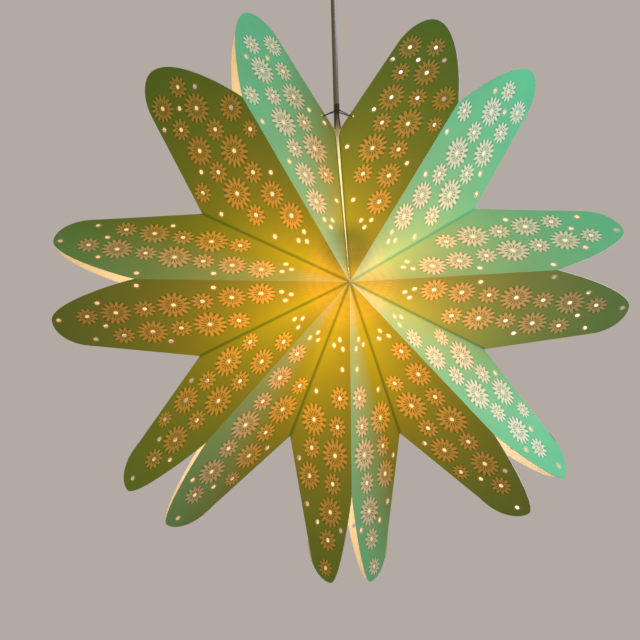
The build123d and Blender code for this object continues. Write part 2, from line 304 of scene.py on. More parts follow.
def printed_card(sizes, colours):
    """White card with an offset print in teal ink: matt, a little fibrous, with the lamp glowing through it.
    The bare motifs let more and warmer light through than the ink."""
    material, tree, shader = new_material("offset-printed card, teal ink")

    # Rosette: a bare disc round the hole, a ring of fine rays and a ring of petals, in shares of its radius
    disc, rim = 0.24, 0.96
    petals = {"middle": 0.74, "height": 0.25, "width": 0.62}
    rays = {"middle": 0.42, "height": 0.27, "width": 0.56, "shift": 0.5}
    radius, turn, _ = polar(tree, "motif")
    count = add(tree, "ShaderNodeAttribute", attribute_name="petals").outputs["Fac"]
    bare = calc(tree, "LESS_THAN", radius, disc)
    for ring in (petals, rays):
        bare = calc(tree, "MAXIMUM", bare, ring_of_spots(tree, radius, turn, count, **ring))

    # Sunburst round the hub: rings of long spots, each set over by half a spot, that fade outwards
    ring_width, spots, fade_start, fade_end = 0.009, 64, 0.034, 0.06
    reach, angle, from_ridge = polar(tree, "sheet")
    rings = calc(tree, "DIVIDE", reach, ring_width)
    set_over = calc(tree, "MULTIPLY_ADD", calc(tree, "FLOOR", rings), math.pi / spots, angle)
    in_ring = calc(tree, "FRACT", rings)
    lace = ring_of_spots(tree, in_ring, set_over, spots, middle=0.5, height=0.46, width=0.7)
    tone = calc(tree, "MULTIPLY_ADD", lace, 0.5, 0.5)
    burst = calc(tree, "MULTIPLY", tone, fit(tree, reach, fade_start, fade_end, 1.0, 0.0, "SMOOTHSTEP"))

    # Ink worn off along the folds, in patches up to half a millimetre wide
    worn_width, worn_share = 0.0005, 0.3
    place = object_place(tree)
    from_crease, from_valley, _ = split(tree, add(tree, "ShaderNodeUVMap", uv_map="folds").outputs[0])
    fold = calc(tree, "MINIMUM", from_crease, from_ridge)
    patches = noise(tree, place, scale=160.0, detail=2.0)
    worn = calc(tree, "LESS_THAN", fold, calc(tree, "MULTIPLY", patches, worn_width))
    bare = calc(tree, "MAXIMUM", bare, calc(tree, "MULTIPLY", worn, worn_share))

    # The sunburst's thin ink lets light through more than it pales
    burst_light, burst_tint = 0.34, 0.22
    clear = calc(tree, "MAXIMUM", bare, calc(tree, "MULTIPLY", burst, burst_light))
    bare = calc(tree, "MAXIMUM", bare, calc(tree, "MULTIPLY", burst, burst_tint))

    # Ink laid a little thicker and thinner over some 40 mm, and twice between the petals of a rosette
    thick, thin, second_coat = 0.86, 1.14, 0.32
    clouds = noise(tree, place, scale=24.0, detail=4.0)
    inks = [[*(share * part for part in colours.ink), 1] for share in (thick, thin)]
    within = calc(tree, "LESS_THAN", radius, rim)
    coat = calc(tree, "MULTIPLY_ADD", within, -second_coat, 1.0)
    ink = scaled(tree, blend(tree, clouds, *inks), coat)
    ink_glow = scaled(tree, colours.ink_glow, coat)

    # Lamp light through the card, painted as emission; painted shade dims it where the glue tab doubles it,
    # above the lamp and by its holder
    tab_light, top_light, holder_light = 0.4, 0.75, 0.4
    tab_shade, top_rise = 0.7 * sizes.tab_width, 0.08
    holder_rise, holder_near, holder_far = 0.036, 0.010, 0.036
    x, _, z = split(tree, place)
    front = add(tree, "ShaderNodeCombineXYZ", {0: x, 2: z}).outputs[0]
    holder = distance(tree, front, (0, 0, sizes.hub_height + holder_rise))
    strength = lamp_falloff(tree, sizes.hub_height, colours.glow_distance, power=1.75)
    for share in (
        fit(tree, from_valley, 0.0, tab_shade, tab_light, 1.0, "SMOOTHSTEP"),
        fit(tree, z, sizes.hub_height, sizes.hub_height + top_rise, 1.0, top_light),
        fit(tree, holder, holder_near, holder_far, holder_light, 1.0, "SMOOTHSTEP"),
    ):
        strength = calc(tree, "MULTIPLY", strength, share)
    sockets = {
        "Base Color": blend(tree, bare, ink, [*colours.tint, 1]),
        "Roughness": 0.62,
        "Specular IOR Level": 0.12,
        "Emission Color": blend(tree, clear, ink_glow, [*colours.card_glow, 1]),
        "Emission Strength": strength,
        "Normal": card_bump(tree, 0.12),
    }
    wire(tree, shader, sockets)
    return material


def lit_card(sizes, colours):
    """Unprinted inside of the card: matt white, made cream and bright by the lamp's light, which is painted
    on as emission.
    """
    material, tree, shader = new_material("white card, lamp-lit inside")
    sockets = {
        "Base Color": [*colours.card, 1],
        "Roughness": 0.75,
        "Emission Color": [*colours.inside_glow, 1],
        "Emission Strength": lamp_falloff(tree, sizes.hub_height, colours.glow_distance, power=0.12),
        "Normal": card_bump(tree, 0.2),
    }
    wire(tree, shader, sockets)
    return material


def cut_card(colours):
    """Cut edge of the card: the bare white core, a little rough."""
    material, tree, shader = new_material("cut card edge")
    shade = 0.8
    fibres = noise(tree, object_place(tree), scale=1500.0, detail=2.0)
    tone = blend(tree, fibres, [*(shade * part for part in colours.card), 1], [*colours.card, 1])
    wire(tree, shader, {"Base Color": tone, "Roughness": 0.9})
    return material


def speckled(name, dark, light, grain, roughness, metallic=0.0, bump=0.1, strength=0.0, glow=None, top=0.0):
    """Surface with two close tones and a fine grain, whose size is given in metres. With a glow it shines, or
    shows painted light of the lamp inside the star, from 30 mm below the given top down."""
    material, tree, shader = new_material(name)
    uneven, glow_fade = 0.06, 0.03
    place = object_place(tree)
    grains = noise(tree, place, scale=1 / grain, detail=4.0)
    sockets = {
        "Base Color": blend(tree, grains, [*linear(dark), 1], [*linear(light), 1]),
        "Metallic": metallic,
        "Roughness": fit(tree, grains, 0.0, 1.0, roughness - uneven, roughness + uneven),
        "Normal": relief(tree, grains, bump, 0.1 * grain),
    }
    if glow:
        height = split(tree, place)[2]
        sockets["Emission Color"] = [*linear(glow), 1]
        sockets["Emission Strength"] = fit(tree, height, top, top - glow_fade, 0.0, strength)
    wire(tree, shader, sockets)
    return material


def twisted_cotton(strand):
    """Cotton twine: matt, hairy strands that wind round each other."""
    material, tree, shader = new_material("twisted cotton twine")
    route = add(tree, "ShaderNodeTexCoord").outputs["UV"]
    slant = {"Vector": route, "Scale": (30.0, 2.0, 1.0), "Rotation": (0, 0, 0.6)}
    slanted = add(tree, "ShaderNodeMapping", slant).outputs[0]
    waves = {"Vector": slanted, "Scale": 1.0, "Distortion": 1.5}
    strands = add(tree, "ShaderNodeTexWave", waves).outputs[1]
    sockets = {
        "Base Color": blend(tree, strands, [*linear("#453F40"), 1], [*linear("#857B74"), 1]),
        "Roughness": 0.9,
        "Normal": relief(tree, strands, strength=0.6, depth=strand),
    }
    wire(tree, shader, sockets)
    return material


# Shapes

CABLE_NOTCH = 0.0071, 0.0043  # cut off the corner at the seam, along the valley and along the crease
TIP_STEPS, EDGE_STEPS = 12, 16  # round a fingertip, and along its inner edge
TOUCHING = 1e-7  # places closer than this are one
SHARP_ANGLE, RIM_ANGLE = math.radians(35), math.radians(40)  # edges that look sharp, and those rounded off

# Rosettes
LARGEST_ROSETTES = 0.0145, 0.0175, 0.016  # radii, in turn
ROSETTE_BETWEEN, FIRST_BETWEEN = 0.0115, 0.0145  # between the largest, and in the row before them
SMALLEST_ROSETTE = 0.0088
SINGLE_HOLE, HUB_HOLE = 0.0040, 0.0036  # with the rim printed round them
HUB_HOLES = (0.061, 0.0), (0.069, -0.0062), (0.069, 0.0062)  # along a face's bisector, and to its side
HUB_CLEAR = 0.076  # from the hub to the first rosette
EDGE_GAP, ROSETTE_GAP = 0.003, 0.0008
MANY_PETALS, FEW_PETALS, MANY_FROM = 15, 11, 0.0125
SINGLE_SIZE, SINGLE_PRINT = 1.05, 0.42  # its hole against a rosette's, and its share of the motif
RIM_STEPS = 18

# Tie holes
TIE_ALONG, TIE_INSET = 0.021, 0.0054  # from the corner along the crease, and inwards
TIE_HOLE, TIE_RIM, TIE_PRINT = 0.0014, 0.0024, 3.0  # the print is beyond the motif, so the rim stays inked


def star_direction(angle):
    """Unit vector in the star's plane, clockwise from straight up as seen from the front."""
    return Vector((math.sin(angle), 0, math.cos(angle)))


def valley_angle(sizes, index):
    """Angle of a valley: an even spread that sags towards the bottom, open at the seam."""
    if index in (0, 7):
        return sizes.seam_angle if index == 0 else math.tau - sizes.seam_angle
    even = math.tau * index / 7
    return even + sizes.droop * math.sin(even)


class Panel:
    """Flat half of a point's front, on the counterclockwise side of its ridge with 1, else with -1. Its own
    frame has X along the ridge, Y across it towards the crease and Z to the front."""

    def __init__(self, sizes, number, side):
        valleys = [valley_angle(sizes, i) for i in (number - 1, number)]
        self.ridge = sum(valleys) / 2 + sizes.ridge_lean[number - 1]
        self.spread = abs(valleys[0 if side == 1 else 1] - self.ridge)
        reach = sizes.valley_radius * math.cos(self.spread)
        width = sizes.valley_radius * math.sin(self.spread)
        fall = sizes.ridge_fall[number - 1]
        self.lean = Vector((fall, (sizes.half_depth - fall * reach) / width, 1.0))
        closing = math.atan2(fall, self.lean.y)
        self.top = Vector((0, 0, sizes.half_depth))
        run = Vector((1, 0, -self.lean.x)).normalized()
        normal = self.lean.normalized()
        self.axes = run, normal.cross(run), normal
        self.side = side
        self.corner = self.flat(reach, width)
        self.crease_end = self.flat(
            reach + sizes.crease_length * math.cos(closing), width - sizes.crease_length * math.sin(closing)
        )
        self.tip = self.flat(
            reach + sizes.tip_reach,
            sizes.tip_share[number - 1] * (width - sizes.tip_reach * math.tan(closing)),
        )
        self.split = self.flat(sizes.split_radius, 0)
        self.tip_pull, self.split_pull = sizes.tip_pull, sizes.split_pull
        self.hub = self.flat(sizes.hub_trim, 0)
        self.hub_side = self.corner * (self.hub.x / self.corner.x)

    def flat(self, reach, width):
        """Place on the flat sheet of a place given in plan."""
        place = Vector((reach, width, -self.lean.x * reach - self.lean.y * width))
        return Vector((place.dot(self.axes[0]), place.dot(self.axes[1])))

    def outline(self, seam):
        """Corners of the flat quarter sheet: a quarter ellipse rounds the tip, and a curve the inner edge."""
        inner = [self.split, self.hub, self.hub_side]
        if seam:
            along = (self.crease_end - self.corner).normalized()
            down, out = CABLE_NOTCH
            inner += [self.corner - self.corner.normalized() * down, self.corner + along * out]
        else:
            inner.append(self.corner)
        rounding = self.tip - self.crease_end
        rounded = [
            self.crease_end + Vector((rounding.x * math.sin(turn), rounding.y * (1 - math.cos(turn))))
            for turn in (math.pi / 2 * step / TIP_STEPS for step in range(TIP_STEPS))
        ]
        edge = self.tip - self.split
        pulls = (
            self.tip - Vector((0, edge.y * self.tip_pull)),
            self.split + Vector((edge.x * self.split_pull[0], edge.y * self.split_pull[1])),
        )
        for share in (step / EDGE_STEPS for step in range(EDGE_STEPS)):
            rest = 1 - share
            rounded.append(
                self.tip * rest**3
                + pulls[0] * 3 * rest**2 * share
                + pulls[1] * 3 * rest * share**2
                + self.split * share**3
            )
        return inner + rounded

    def matrix(self):
        """From the flat sheet to the point's frame, whose Y axis is across the ridge."""
        run, across, normal = self.axes
        place = Matrix((run, across, normal)).transposed().to_4x4()
        place.translation = self.top
        return Matrix.Diagonal((1, self.side, 1, 1)) @ place

    def outward(self, middle):
        """Outward normal of the quarter sheet that a place in the point's frame lies on."""
        normal = self.axes[2]
        return Vector((normal.x, math.copysign(normal.y, middle.y), math.copysign(normal.z, middle.z)))


def room(outline, place):
    """Distance from a place to the nearest edge of the outline, negative outside it."""
    nearest = 1.0
    inside = False
    for start, end in zip(outline, outline[1:] + outline[:1]):
        edge = end - start
        share = max(0.0, min(1.0, (place - start).dot(edge) / edge.length_squared))
        nearest = min(nearest, (start + edge * share - place).length)
        if (start.y > place.y) != (end.y > place.y):
            inside ^= place.x < start.x + edge.x * (place.y - start.y) / edge.y
    return nearest if inside else -nearest


def rosettes(sizes, panel, outline):
    """Centres and radii of three holes near the hub, then of half-drop rows of rosettes along the middle of a
    finger, each as large as fits, with small ones and single holes between them."""
    along = ((panel.split + panel.crease_end) / 2).normalized()
    across = Vector((-along.y, along.x))
    row_pitch = sizes.punch_pitch / 2
    rows, columns = range(-2, 9), range(-4, 5)
    sites = []
    for row in rows:
        for column in columns:
            place = along * (sizes.punch_start + row * row_pitch) + across * column * sizes.column_pitch
            if (row + column) % 2:
                largest = FIRST_BETWEEN if row == -1 else ROSETTE_BETWEEN
                sites.append((2, abs(column), row, place, largest))
            else:
                largest = LARGEST_ROSETTES[abs(column + row // 2) % 3]
                sites.append((0 if column == 0 else 1, abs(column), row, place, largest))
            if row % 2 == 0:
                between = place + along * (row_pitch / 2) + across * (sizes.column_pitch / 2)
                sites.append((3, abs(column), row, between, SINGLE_HOLE))
    middle = (panel.corner.normalized() + Vector((1, 0))).normalized()
    aside = Vector((-middle.y, middle.x))
    placed = [(middle * run + aside * shift, HUB_HOLE) for run, shift in HUB_HOLES]
    for *_, place, largest in sorted(sites, key=lambda site: site[:3]):
        if place.length < HUB_CLEAR:
            continue
        gaps = [(place - other).length - taken - ROSETTE_GAP for other, taken in placed]
        radius = min(largest, room(outline, place) - EDGE_GAP, *gaps)
        if radius >= SMALLEST_ROSETTE:
            placed.append((place, radius))
        elif radius >= SINGLE_HOLE:
            placed.append((place, SINGLE_HOLE))
    return placed


def flat_sheet(sizes, panel, seam, tie_hole):
    """Flat quarter sheet with its punched holes. UV maps: motif is the place in a rosette, sheet the place on
    the sheet, and folds the distances from the side crease and the valley. Petals is a rosette's count."""
    bm = bmesh.new()
    motif, sheet, folds = (bm.loops.layers.uv.new(name) for name in ("motif", "sheet", "folds"))
    petals = bm.faces.layers.float.new("petals")
    outline = panel.outline(seam)
    corners = [bm.verts.new((*p, 0)) for p in outline]
    edges = [bm.edges.new(pair) for pair in zip(corners, corners[1:] + corners[:1])]
    discs = []
    for centre, radius in rosettes(sizes, panel, outline):
        size, print_share = (SINGLE_SIZE, SINGLE_PRINT) if radius < SMALLEST_ROSETTE else (1.0, 1.0)
        discs.append((centre, radius, sizes.punch_radius * size, print_share))
    if tie_hole:
        discs = [disc for disc in discs if (disc[0] - tie_hole).length > disc[1] + EDGE_GAP]
        discs.append((tie_hole, TIE_RIM, TIE_HOLE, TIE_PRINT))
    spots = []
    for centre, radius, hole, scale in discs:
        place = Matrix.Translation((*centre, 0))
        rims = []
        for r in (hole, radius):
            made = bmesh.ops.create_circle(bm, segments=RIM_STEPS, radius=r, matrix=place)["verts"]
            rims.append(list({edge for vert in made for edge in vert.link_edges}))
        edges += rims[1]
        spots.append((centre, radius, scale, bmesh.ops.bridge_loops(bm, edges=rims[0] + rims[1])["faces"]))
    bmesh.ops.triangle_fill(bm, edges=edges, use_beauty=True, normal=(0, 0, 1))
    crease = (panel.crease_end - panel.corner).normalized()
    valley = panel.corner.normalized()
    for face in bm.faces:
        for loop in face.loops:
            place = loop.vert.co.xy
            from_corner = place - panel.corner
            loop[motif].uv = 2.0, 2.0  # beyond any motif
            loop[sheet].uv = place
            loop[folds].uv = from_corner.cross(crease), from_corner.cross(valley)
    for centre, radius, scale, faces in spots:
        for face in faces:
            face[petals] = MANY_PETALS if radius > MANY_FROM else FEW_PETALS
            for loop in face.loops:
                loop[motif].uv = (loop.vert.co.xy - centre) * (scale / radius)
    return to_mesh(bm, "flat_sheet")


def tab_outline(first, last, taper, width):
    """Corners of a glue tab along its fold and across it."""
    return (first, 0), (last, 0), (last - taper, width), (first + taper, width)


def plate(bm, corners, thickness):
    """Flat piece of card in the inside's material."""
    face = bm.faces.new([bm.verts.new(corner) for corner in corners])
    made = bmesh.ops.extrude_face_region(bm, geom=[face], use_keep_orig=True)["geom"]
    verts = [v for v in made if isinstance(v, bmesh.types.BMVert)]
    bmesh.ops.translate(bm, vec=thickness, verts=verts)
    faces = [face, *{f for v in verts for f in v.link_faces}]
    bmesh.ops.recalc_face_normals(bm, faces=faces)
    for part in faces:
        part.material_index = 1


def to_mesh(bm, name):
    """Mesh from a bmesh, which is freed."""
    mesh = bpy.data.meshes.new(name)
    bm.to_mesh(mesh)
    bm.free()
    return mesh


def new_object(name, data):
    """Object in the scene."""
    item = bpy.data.objects.new(name, data)
    bpy.context.scene.collection.objects.link(item)
    return item


def finish_piece(bm, name, materials, replaced, smooth=False):
    """Object from a bmesh that rides with the frame and stands for CAD nodes."""
    mesh = to_mesh(bm, name)
    for material in materials:
        mesh.materials.append(material)
    if smooth:
        mesh.shade_smooth()
        mesh.set_sharp_from_angle(angle=SHARP_ANGLE)
    piece = new_object(name, mesh)
    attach(piece, "root")
    if replaced:
        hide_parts(*replaced)
    return piece


def bevel(bm, edges, offset, segments):
    """Rounds edges."""
    bmesh.ops.bevel(
        bm, geom=edges, offset=offset, segments=segments, profile=0.5, affect="EDGES", material=-1
    )


def turned(bm, profile, steps, rounding=0.0):
    """Profile of radius and height spun round the Z axis, with its rims rounded."""
    verts = [bm.verts.new((r, 0, z)) for r, z in profile]
    edges = [bm.edges.new(pair) for pair in zip(verts, verts[1:])]
    before = set(bm.faces)
    bmesh.ops.spin(
        bm, geom=verts + edges, axis=(0, 0, 1), cent=(0, 0, 0), angle=math.tau, steps=steps, use_merge=True
    )
    bmesh.ops.remove_doubles(bm, verts=bm.verts, dist=TOUCHING)
    faces = [face for face in bm.faces if face not in before]
    bmesh.ops.recalc_face_normals(bm, faces=faces)
    if rounding:
        rims = []
        for edge in {edge for face in faces for edge in face.edges}:
            start, end = (vert.co for vert in edge.verts)
            level = max(abs(start.z - end.z), abs(start.xy.length - end.xy.length)) < TOUCHING
            if level and len(edge.link_faces) == 2 and edge.calc_face_angle() > RIM_ANGLE:
                rims.append(edge)
        bevel(bm, rims, rounding, segments=3)


def turned_piece(name, material, replaced, profile, steps, rounding=0.0):
    """Object with a turned shape."""
    bm = bmesh.new()
    turned(bm, profile, steps, rounding)
    finish_piece(bm, name, [material], replaced, smooth=True)


def new_curve(name, radius=0.0, resolution=0):
    """Curve with a round section and closed ends."""
    curve = bpy.data.curves.new(name, "CURVE")
    curve.dimensions = "3D"
    curve.bevel_depth = radius
    curve.bevel_resolution = resolution
    curve.use_fill_caps = True
    return curve


def smooth_line(curve, route, resolution):
    """Line in a curve that starts and ends at a route's ends and rounds off its corners."""
    spline = curve.splines.new("NURBS")
    spline.points.add(len(route) - 1)
    for point, place in zip(spline.points, route):
        point.co = (*place, 1)
    spline.order_u = 3
    spline.use_endpoint_u = True
    spline.resolution_u = resolution


def dress(node, material):
    """Finish of a CAD node whose own shape stays."""
    mesh = bpy.data.objects[node].data
    mesh.materials.clear()
    mesh.materials.append(material)


# Operators

CABLE_FOOT, CABLE_TOP = -0.2468, -0.065  # where it leaves the strain relief, and where the cord grip holds it
BULB_TOP, HOLDER_JOINT, HOLDER_TOP, SLEEVE_FOOT = -0.340, -0.2968, -0.2728, -0.2808  # below the ceiling
CUP_FLOOR = -0.043


class PAPERSTAR_OT_cable(bpy.types.Operator):
    """Taut round cable from the strain relief up to the cord grip"""

    bl_idname = "paper_star.cable"
    bl_label = "Cable"

    def execute(self, context):
        fittings = context.scene.star_fittings
        foot, top = Vector((0, 0, CABLE_FOOT)), Vector((0, 0, CABLE_TOP))
        curve = new_curve("cable_flex", fittings.cable_radius, resolution=6)
        smooth_line(curve, [foot, *(foot.lerp(top, share) for share in (0.19, 0.81)), top], resolution=8)
        # PVC sheath: smooth extruded plastic with a soft sheen along its length, and painted lamp light on
        # its end inside the star
        sheath = speckled(
            "extruded PVC sheath, grey", "#8E8982", "#A49F98", grain=0.004, roughness=0.42,
            bump=0.05, top=-0.205, **LAMP_LIT,
        )
        curve.materials.append(sheath)
        flex = new_object("cable_flex", curve)
        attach(flex, "root")
        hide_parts("cable")
        return {"FINISHED"}


class PAPERSTAR_OT_sheets(bpy.types.Operator):
    """Seven folded sheets with their punched holes, print and glue tabs"""

    bl_idname = "paper_star.sheets"
    bl_label = "Folded Sheets"

    def execute(self, context):
        sizes = context.scene.star_sheets
        colours = context.scene.star_colours
        materials = [printed_card(sizes, colours), lit_card(sizes, colours), cut_card(colours)]
        for number in range(1, 8):
            self.fold(sizes, number, materials)
        return {"FINISHED"}

    def fold(self, sizes, number, materials):
        """One point: both halves of its front, mirrored to the back, with its thickness and tabs."""
        panels = {side: Panel(sizes, number, side) for side in (1, -1)}
        deepest = -CAD_BOX[0][1]  # keeps the finer hub within the box of the solids
        on_fold, flush = 1e-6, 0.9
        bm = bmesh.new()
        for side, panel in panels.items():
            seam = (number, side) in ((1, 1), (7, -1))
            tie_hole = None
            if seam:
                along = (panel.crease_end - panel.corner).normalized()
                inward = Vector((along.y, -along.x))
                tie_hole = panel.corner + along * TIE_ALONG + inward * TIE_INSET
            mesh = flat_sheet(sizes, panel, seam, tie_hole)
            mesh.transform(panel.matrix())
            for vert in mesh.vertices:
                vert.co.z = min(vert.co.z, deepest)
            bm.from_mesh(mesh)
            bpy.data.meshes.remove(mesh)
        bmesh.ops.mirror(bm, geom=bm.verts[:] + bm.edges[:] + bm.faces[:], axis="Z", merge_dist=-1)
        bmesh.ops.remove_doubles(bm, verts=bm.verts, dist=on_fold)
        # Thickness inwards, mitred at the folds
        walls = bmesh.ops.extrude_face_region(bm, geom=bm.faces[:], use_keep_orig=True)["geom"]
        for vert in (v for v in walls if isinstance(v, bmesh.types.BMVert)):
            full = panels[1 if vert.co.y > 0 else -1].lean
            signs = [0 if abs(c) < on_fold else math.copysign(1, c) for c in vert.co]
            lean = Vector((full.x, full.y * signs[1], signs[2]))
            vert.co -= lean * (sizes.paper * full.length / lean.length_squared)
        bmesh.ops.recalc_face_normals(bm, faces=bm.faces)
        for face in bm.faces:
            middle = face.calc_center_median()
            facing = face.normal.dot(panels[1 if middle.y > 0 else -1].outward(middle))
            face.material_index = 0 if facing > flush else 1 if facing < -flush else 2
        self.tabs(bm, sizes, panels)
        ridge = panels[1].ridge
        along, across = star_direction(ridge), star_direction(ridge - math.pi / 2)
        place = Matrix((along, across, Vector((0, -1, 0)))).transposed().to_4x4()
        place.translation = (0, 0, sizes.hub_height)
        bmesh.ops.transform(bm, matrix=place, verts=bm.verts)
        name = f"star_point_{number}"
        finish_piece(bm, f"paper_{name}", materials, [name])

    def tabs(self, bm, sizes, panels):
        """Glue tabs that stand inwards in the valleys, and the tab under the back ridge."""
        for side, panel in panels.items():
            along = Vector((math.cos(panel.spread), side * math.sin(panel.spread), 0))
            aside = Vector((along.y, -along.x, 0)) * side
            for face in (1, -1):
                front = Vector((0, 0, face))
                fold = (along * sizes.valley_radius - front * sizes.half_depth).normalized()
                inward = -(along * sizes.half_depth + front * sizes.valley_radius).normalized()
                first, last = sizes.tab_hub_gap, panel.corner.length - sizes.tab_corner_gap
                corners = [
                    front * sizes.half_depth + fold * run + inward * width
                    for run, width in tab_outline(first, last, sizes.tab_taper, sizes.tab_width)
                ]
                plate(bm, corners, aside * sizes.paper)
        panel = panels[1]
        last = sizes.split_radius - sizes.overlap_end_gap
        to_back = Matrix.Diagonal((1, 1, -1, 1)) @ panel.matrix()
        corners = [
            to_back @ Vector((*panel.flat(run, width), -sizes.paper))
            for run, width in tab_outline(sizes.tab_hub_gap, last, sizes.tab_taper, sizes.overlap_width)
        ]
        thickness = to_back.to_3x3() @ Vector((0, 0, -sizes.paper))
        plate(bm, corners, thickness)


class PAPERSTAR_OT_lamp(bpy.types.Operator):
    """Frosted stick bulb with its screw cap, and the lamp holder round it"""

    bl_idname = "paper_star.lamp"
    bl_label = "Lamp and Holder"

    def execute(self, context):
        steps = context.scene.star_fittings.round_steps
        # Frosted glass tube with a domed end, lit evenly from inside
        glass = speckled(
            "frosted opal glass, lit", "#FFF4DC", "#FFFAEC", grain=0.003, roughness=0.55, bump=0.04,
            strength=2.4, glow="#FFD49A",
        )
        foot, radius, neck, rounding = -0.424, 0.019, 0.0129, 0.0058
        profile = [(0, foot), (radius, foot), (radius, BULB_TOP), (neck, BULB_TOP), (0, BULB_TOP)]
        turned_piece("bulb_glass", glass, ["bulb"], profile, steps, rounding)

        # Screw cap: rolled thread in thin nickel-plated brass
        nickel = speckled(
            "nickel-plated brass", "#B9B3A4", "#D8D2C2", grain=0.0015, roughness=0.28, metallic=1.0, bump=0.05
        )
        crest, root, start, pitch = 0.0131, 0.0122, -0.3365, 0.0042
        shoulder, contact = -0.3105, -0.305
        profile = [(0, BULB_TOP - 0.0005), (crest, BULB_TOP), (crest, start)]
        for foot in (start + turn * pitch for turn in range(6)):
            profile += [(root, foot + 0.001), (root, foot + 0.002)]
            profile += [(crest, foot + 0.003), (crest, foot + pitch)]
        profile += [(root, shoulder), (0.006, shoulder + 0.003), (0.005, contact), (0, contact)]
        turned_piece("bulb_screw_cap", nickel, [], profile, steps)

        # Holder: white moulded plastic with a satin sheen and a fine sparked texture, and painted lamp light
        # all over
        plastic = speckled(
            "moulded urea plastic, white", "#D9D3C6", "#E6E1D5", grain=0.0012, roughness=0.45,
            bump=0.12, **LAMP_LIT,
        )
        outer, waist, bore, mouth, rim = 0.0195, 0.0186, 0.0140, -0.3323, 0.0005
        profile = [(bore, mouth), (outer, mouth), (outer, mouth + 0.004), (waist, mouth + 0.005)]
        profile += [(waist, HOLDER_JOINT - 0.0075), (outer, HOLDER_JOINT - 0.0065), (outer, HOLDER_JOINT)]
        profile += [(bore, HOLDER_JOINT), (bore, mouth)]
        turned_piece("holder_skirt", plastic, ["lampholder_skirt"], profile, steps, rim)
        body, socket, rounding = 0.0190, 0.0048, 0.0008
        profile = [(0, HOLDER_JOINT), (outer, HOLDER_JOINT), (outer, -0.2898), (body, -0.2893)]
        profile += [(body, -0.2835), (0.0160, -0.2775), (0.0085, HOLDER_TOP), (socket, HOLDER_TOP)]
        bm = bmesh.new()
        turned(bm, [*profile, (socket, SLEEVE_FOOT), (0, SLEEVE_FOOT)], steps, rounding)
        self.ribs(bm, radius=0.0192, foot=HOLDER_JOINT, top=-0.2900)
        finish_piece(bm, "holder_cap", [plastic], ["lampholder_cap"], smooth=True)

        # Strain relief: a soft sleeve that tapers in ribs, with painted lamp light all over
        sleeve = speckled(
            "soft PVC sleeve, off-white", "#C9C2B4", "#D8D1C3", grain=0.0016, roughness=0.5,
            bump=0.08, **LAMP_LIT,
        )
        plug, collar, start, pitch = 0.0046, 0.0064, -0.2700, 0.0033
        groove, first, taper = 0.0009, 0.0062, 0.00036
        profile = [(0, SLEEVE_FOOT), (plug, SLEEVE_FOOT), (plug, HOLDER_TOP)]
        profile += [(collar, HOLDER_TOP), (collar, start)]
        for rib in range(7):
            foot, radius = start + rib * pitch, first - rib * taper
            profile += [(radius - groove, foot + 0.0004), (radius - groove, foot + 0.0013)]
            profile += [(radius, foot + 0.0017), (radius, foot + pitch)]
        profile += [(0.0034, CABLE_FOOT), (0, CABLE_FOOT)]
        turned_piece("ribbed_strain_relief", sleeve, ["strain_relief"], profile, steps)

        # Turned brass and fired ceramic of the holder's inner parts
        brass = speckled(
            "rolled brass shell", "#B08D3E", "#D2AE5C", grain=0.0012, roughness=0.3, metallic=1.0
        )
        dress("screw_shell", brass)
        ceramic = speckled("glazed steatite ceramic", "#E4DCCB", "#F1EADB", grain=0.0025, roughness=0.3)
        dress("contact_insert", ceramic)
        return {"FINISHED"}

    def ribs(self, bm, radius, foot, top):
        """Grip ribs round the foot of the cap."""
        count, depth, width = 28, 0.0006, 0.0018
        for index in range(count):
            turn = Matrix.Rotation(math.tau * index / count, 4, "Z")
            place = turn @ Matrix.Translation((radius, 0, (foot + top) / 2))
            rib = place @ Matrix.Diagonal((depth, width, top - foot, 1))
            bmesh.ops.create_cube(bm, size=1.0, matrix=rib)


